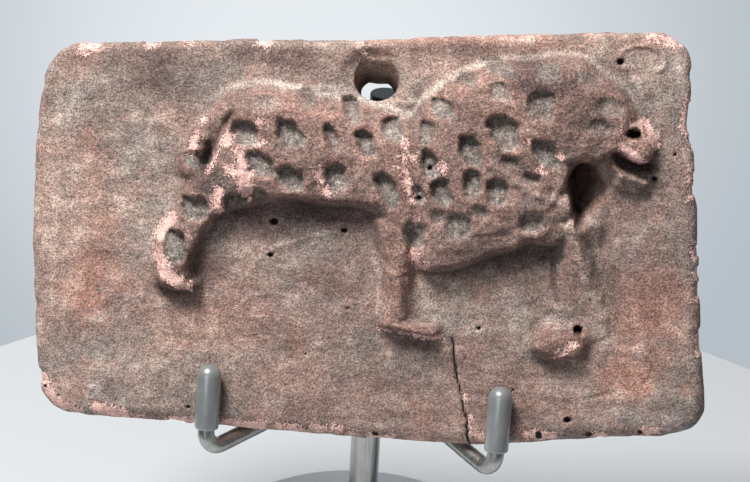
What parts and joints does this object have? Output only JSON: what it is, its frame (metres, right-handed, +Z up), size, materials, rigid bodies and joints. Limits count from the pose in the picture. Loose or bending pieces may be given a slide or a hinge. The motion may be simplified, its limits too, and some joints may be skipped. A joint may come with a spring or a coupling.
{
  "type": "terracotta relief plaque on stand",
  "caption": "Mould-made terracotta plaque with a spotted big cat in bold relief, held by the two sleeved prongs of a steel display stand.",
  "frame": {"origin": "centre of the foot disc's underside", "axes": "+Z up, +X to the viewer's right along the plaque, the carved face looks towards -Y"},
  "size_m": [0.1342, 0.074, 0.1392],
  "materials": {
    "terracotta": "matte",
    "brushed_steel": "satin",
    "foot_steel": "satin",
    "grey_sleeve": "satin"
  },
  "bodies": {
    "root": {"plaque": "terracotta", "foot": "foot_steel", "post": "brushed_steel", "arm_left": "brushed_steel", "arm_right": "brushed_steel", "sleeve_left": "grey_sleeve", "sleeve_right": "grey_sleeve"}
  },
  "joints": []
}
